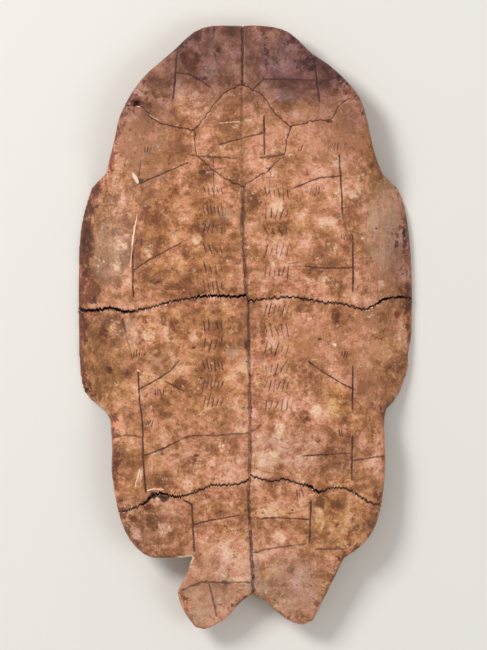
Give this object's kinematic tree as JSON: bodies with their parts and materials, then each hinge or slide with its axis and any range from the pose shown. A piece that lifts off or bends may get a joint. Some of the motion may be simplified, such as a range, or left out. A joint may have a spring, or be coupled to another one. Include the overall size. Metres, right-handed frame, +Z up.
{
  "type": "turtle plastron oracle bone",
  "caption": "Polished turtle plastron of sutured bones, with divination cracks and rows of cut strokes on its outer face and scorched hollows inside.",
  "frame": {"origin": "under the middle of the plate's bounding box, on the surface it lies on", "axes": "+Y along the plate towards the front lip, +Z up out of the outer face, +X to the right as the outer face is seen with the front lip up"},
  "size_m": [0.134, 0.2414, 0.015],
  "materials": {
    "aged_bone": "polished, aged brown bone with ochre stains"
  },
  "bodies": {
    "root": {"epiplastron_left": "aged_bone", "epiplastron_right": "aged_bone", "entoplastron": "aged_bone", "hyoplastron_left": "aged_bone", "hyoplastron_right": "aged_bone", "hypoplastron_left": "aged_bone", "hypoplastron_right": "aged_bone", "xiphiplastron_left": "aged_bone", "xiphiplastron_right": "aged_bone"}
  },
  "joints": []
}
